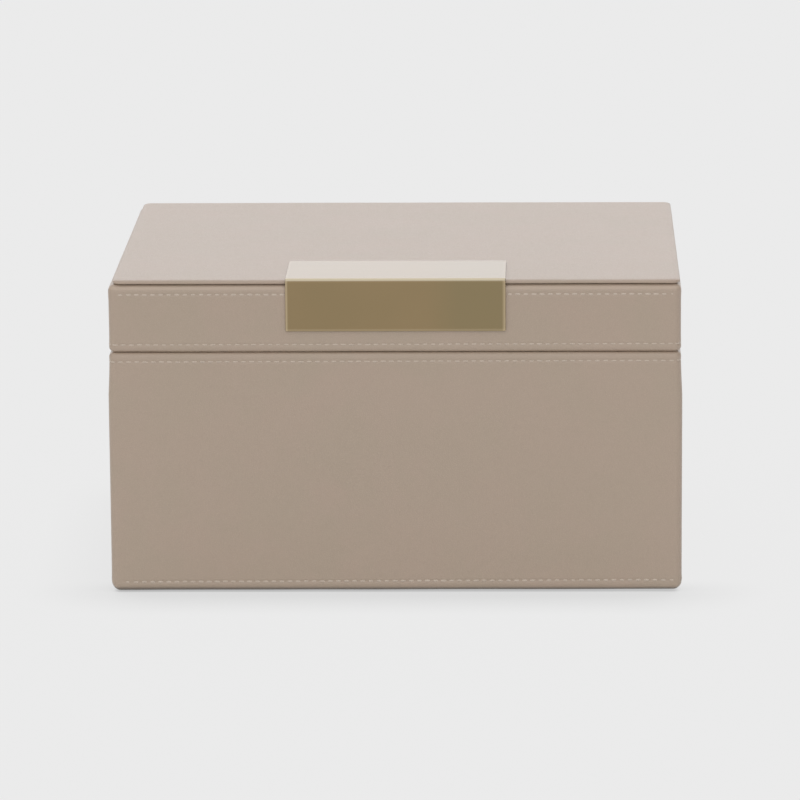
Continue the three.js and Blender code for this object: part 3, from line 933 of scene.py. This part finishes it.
def mergedCopy(node):
    bm = bmesh.new()
    bm.from_mesh(nodes[node].data)
    bmesh.ops.remove_doubles(bm, verts=bm.verts[:], dist=hingeSizes["copyWeld"])
    return bm


def softenedCopy(name, node, body):
    # the solid's own shape, with its edges broken as on pressed brass
    bm = mergedCopy(node)
    bmesh.ops.dissolve_limit(bm, angle_limit=math.radians(0.5), verts=bm.verts[:], edges=bm.edges[:])
    piece = finishPiece(name, bm, body, hingeBrass, [node], sharpAngle=30)
    edge = piece.modifiers.new("brokenEdge", "BEVEL")
    edge.width = hingeSizes["edge"]
    edge.segments = 2
    edge.angle_limit = math.radians(35)
    return flatFaced(piece)


def cutHead(bm, direction, reach):
    # a straight cut through the flat top of the head alone
    faces = [face for face in bm.faces
             if face.calc_center_median().z > -3 * hingeSizes["headRise"] and face.normal.z ** 2 > 0.99]
    edges = {edge for face in faces for edge in face.edges}
    vertices = {vertex for face in faces for vertex in face.verts}
    bmesh.ops.bisect_plane(bm, geom=[*faces, *edges, *vertices], plane_co=direction * reach,
                           plane_no=direction)


def crossHeadScrew(name, node, body):
    sizes = hingeSizes
    low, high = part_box(node)
    middle = (low + high) / 2
    upper = "upper" in node
    bm = bmesh.new()
    drawn = [(0, -sizes["screwLength"]), (sizes["screwShank"], -sizes["screwLength"] + sizes["screwTip"]),
             (sizes["screwShank"], -sizes["screwTaper"]), (sizes["screwHead"], -sizes["headEdge"]),
             (sizes["screwHead"] - sizes["headBevel"], 0), (sizes["headFlat"], sizes["headRise"])]
    points = [bm.verts.new((radius, 0, height)) for radius, height in drawn]
    for first, second in zip(points, points[1:]):
        bm.edges.new((first, second))
    bmesh.ops.spin(bm, geom=bm.verts[:] + bm.edges[:], cent=(0, 0, 0), axis=(0, 0, 1),
                   angle=2 * math.pi, steps=24, use_merge=True)
    bmesh.ops.remove_doubles(bm, verts=bm.verts[:], dist=sizes["weld"])
    bmesh.ops.holes_fill(bm, edges=[edge for edge in bm.edges if edge.is_boundary], sides=0)
    for direction in (Vector((1, 0, 0)), Vector((0, 1, 0))):
        for reach in (sizes["crossWidth"], sizes["crossArm"]):
            cutHead(bm, direction, -reach)
            cutHead(bm, direction, reach)
    sunk = []  # the cross
    for item in bm.faces:
        spot = item.calc_center_median()
        across, along = sorted((abs(spot.x), abs(spot.y)))
        if spot.z > -2 * sizes["headRise"] and across < sizes["crossWidth"] and along < sizes["crossArm"]:
            sunk.append(item)
    grown = bmesh.ops.extrude_face_region(bm, geom=sunk)["geom"]
    fresh = [item for item in grown if isinstance(item, bmesh.types.BMVert)]
    bmesh.ops.translate(bm, verts=fresh, vec=(0, 0, -sizes["crossDepth"]))
    bmesh.ops.scale(bm, verts=fresh, vec=(sizes["crossDraft"], sizes["crossDraft"], 1))
    bmesh.ops.recalc_face_normals(bm, faces=bm.faces[:])
    more = sizes["crossSpread"] * (middle.x % sizes["turnPitch"]) / sizes["turnPitch"]
    turn = Matrix.Rotation(math.radians(sizes["crossTurn"] + more), 4, "Z")
    if upper:
        turn = Matrix.Rotation(math.pi, 4, "X") @ turn
    headZ = low.z if upper else high.z
    bmesh.ops.transform(bm, verts=bm.verts[:], matrix=Matrix.Translation((middle.x, middle.y, headZ)) @ turn)
    return finishPiece(name, bm, body, hingeBrass, [node], sharpAngle=30)


for side in ("left", "right"):
    title = side + "Hinge"
    softenedCopy(title + "LowerLeaf", f"hinge_{side}_lower_leaf", "base")
    softenedCopy(title + "UpperLeaf", f"hinge_{side}_upper_leaf", "lid")
    softenedCopy(title + "Pin", f"hinge_{side}_pin", "base")
    for number in ("1", "2"):
        crossHeadScrew(title + "LowerScrew" + number, f"hinge_{side}_lower_screw_{number}", "base")
        crossHeadScrew(title + "UpperScrew" + number, f"hinge_{side}_upper_screw_{number}", "lid")
print("hinges made")


# Lining and underside

liningSizes = {
    "edge": 0.0007,
    "edgeShare": 0.4,        # of the panel's thickness, on a thin one
    "edgeSegments": 4,
    "spacing": 0.012,
    "unevenness": 0.00012,
    "waveLength": 0.03,
}


def clothPanel(name, node, body, material, seed):
    sizes = liningSizes
    low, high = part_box(node)
    size, middle = high - low, (low + high) / 2
    bm = bmesh.new()
    bmesh.ops.create_cube(bm, size=1, matrix=Matrix.Translation(middle) @ Matrix.Diagonal((*size, 1)))
    edge = min(sizes["edge"], min(size) * sizes["edgeShare"])
    bmesh.ops.bevel(bm, geom=bm.edges[:], offset=edge, segments=sizes["edgeSegments"], profile=0.5,
                    affect="EDGES", material=-1)
    for axis in range(3):
        direction = Vector((axis == 0, axis == 1, axis == 2))
        count = int(size[axis] / sizes["spacing"])
        for step in range(1, count):
            spot = low + direction * (size[axis] * step / count)
            everything = bm.verts[:] + bm.edges[:] + bm.faces[:]
            bmesh.ops.bisect_plane(bm, geom=everything, plane_co=spot, plane_no=direction)
    bmesh.ops.recalc_face_normals(bm, faces=bm.faces[:])
    softlyUneven(bm, sizes["unevenness"], sizes["waveLength"], seed)
    return finishPiece(name, bm, body, material, [node], sharpAngle=50)


for number, side in enumerate(("Front", "Back", "Left", "Right")):
    clothPanel("baseLining" + side, "base_lining_" + side.lower(), "base", suede, number + 1)
    clothPanel("lidLining" + side, "lid_lining_" + side.lower(), "lid", suede, number + 5)
clothPanel("baseLiningFloor", "base_lining_floor", "base", suede, 9)
clothPanel("lidLiningCeiling", "lid_lining_ceiling", "lid", suede, 10)
clothPanel("undersideFelt", "base_underside_pad", "base", felt, 11)
print("lining made")


# Solids that stay as they are

def dress(names, material):
    for name in names:
        nodes[name].data.materials.clear()
        nodes[name].data.materials.append(material)


dress([name for name in nodes if name.endswith("_board")], board)
dress(["pull_screw_left", "pull_screw_right"], steel)


# Floor, light and camera

stageLook = {
    "paleGrey": 0.834,
    "floorRadius": 14,
    "shownShadow": 0.03,     # how much of the floor's own shading the camera sees
    "contactReach": 0.047,
    "frontShade": 0.36,      # how deep the shadow is close to the box's front, left and right
    "leftShade": 0.098,
    "rightShade": 0.0,
    "sideReach": 0.14,
    "frontEdge": (-0.125, -0.085),   # front to back, where the front's shadow gives way
    "lineReach": 0.0017,     # the darker line right at the foot
    "lineShade": 0.33,
    "sunStrength": 1.05,
    "sunWidth": 110,         # degrees, as the next two
    "sunDown": 45,
    "sunTurn": -10,
    "skyStrength": 0.5,
    "skyColour": (1, 0.986, 1),
    "backGlow": 0.69,        # a wide bright area above and behind the box
    "glowTowards": (0, 0.85, 0.527),
    "glowEdge": 0.55,
    "rightLoss": 0.2,        # and less light from far out at the sides
    "leftLoss": 0.1,
    "lossEdge": (0.3, 0.9),
}


def layFloor():
    look = stageLook
    bm = bmesh.new()
    bmesh.ops.create_circle(bm, segments=64, radius=look["floorRadius"], cap_ends=True)
    mesh = bpy.data.meshes.new("floor")
    bm.to_mesh(mesh)
    bm.free()
    material, start, place = startMaterial("paleFloor")
    grey = (look["paleGrey"],) * 3
    side = place.axis(0).spread(-look["sideReach"], look["sideReach"], look["leftShade"], look["rightShade"])
    front = place.axis(1).spread(*look["frontEdge"], 1.0, 0.0)
    depth = side + front * (look["frontShade"] - side)
    close = start.node("AmbientOcclusion", {"samples": 8}, {"Distance": look["contactReach"]}, 1)
    line = start.node("AmbientOcclusion", {"samples": 8}, {"Distance": look["lineReach"]}, 1)
    shade = 1 - (1 - close) * depth - (1 - line) * (front * look["lineShade"])
    shown = start.node("Emission", {}, {"Color": shade.blended((0, 0, 0), grey), "Strength": 1})
    lit = start.node("BsdfDiffuse", {}, {"Color": grey})
    camera, glossy = start.node("LightPath"), start.node("LightPath", output=3)
    seen = start.maths("MAXIMUM", camera, glossy)
    surface = start.node("MixShader", {}, {0: seen * (1 - look["shownShadow"]), 1: lit, 2: shown})
    start.node("OutputMaterial", {}, {"Surface": surface})
    mesh.materials.append(material)
    floor = bpy.data.objects.new("floor", mesh)
    scene.collection.objects.link(floor)


def lightStudio():
    look = stageLook
    world = bpy.data.worlds.new("studio")
    scene.world = world
    world.use_nodes = True
    world.node_tree.nodes.clear()
    start = Wire(world.node_tree)
    direction = start.node("TexCoord", output=0)
    across = direction.axis(0)
    near, far = look["lossEdge"]
    behind = start.node("VectorMath", {"operation": "DOT_PRODUCT"},
                        {0: direction, 1: look["glowTowards"]}, 1)
    strength = look["skyStrength"] + behind.spread(look["glowEdge"], 1.0) * look["backGlow"]
    strength -= across.spread(near, far) * look["rightLoss"]
    strength -= across.spread(-far, -near, 1.0, 0.0) * look["leftLoss"]
    soft = start.node("Background", {}, {"Color": look["skyColour"], "Strength": strength})
    plain = start.node("Background", {}, {"Color": (look["paleGrey"],) * 3, "Strength": 1})
    shown = start.node("LightPath")
    start.node("OutputWorld", {}, {"Surface": start.node("MixShader", {}, {0: shown, 1: soft, 2: plain})})
    sun = bpy.data.lights.new("softSun", "SUN")
    sun.energy = look["sunStrength"]
    sun.angle = math.radians(look["sunWidth"])
    lamp = bpy.data.objects.new("softSun", sun)
    lamp.rotation_euler = (math.radians(look["sunDown"]), 0, math.radians(look["sunTurn"]))
    scene.collection.objects.link(lamp)


cameraView = {
    "place": (0.0754, -2.6962, 0.6519),
    "down": 12.115, "turn": 1.616, "roll": -0.427,
    "lens": 243, "sensor": 36, "farthest": 60,
}


def placeCamera():
    view = cameraView
    data = bpy.data.cameras.new("camera")
    data.lens = view["lens"]
    data.sensor_width = view["sensor"]
    data.clip_end = view["farthest"]
    camera = bpy.data.objects.new("camera", data)
    turned = Matrix.Rotation(math.radians(view["turn"]), 4, "Z")
    tilted = Matrix.Rotation(math.radians(90 - view["down"]), 4, "X")
    rolled = Matrix.Rotation(math.radians(view["roll"]), 4, "Z")
    camera.matrix_world = Matrix.Translation(view["place"]) @ turned @ tilted @ rolled
    scene.collection.objects.link(camera)
    scene.camera = camera


layFloor()
lightStudio()
placeCamera()
scene.view_settings.view_transform = "Standard"

print("stage and camera set")
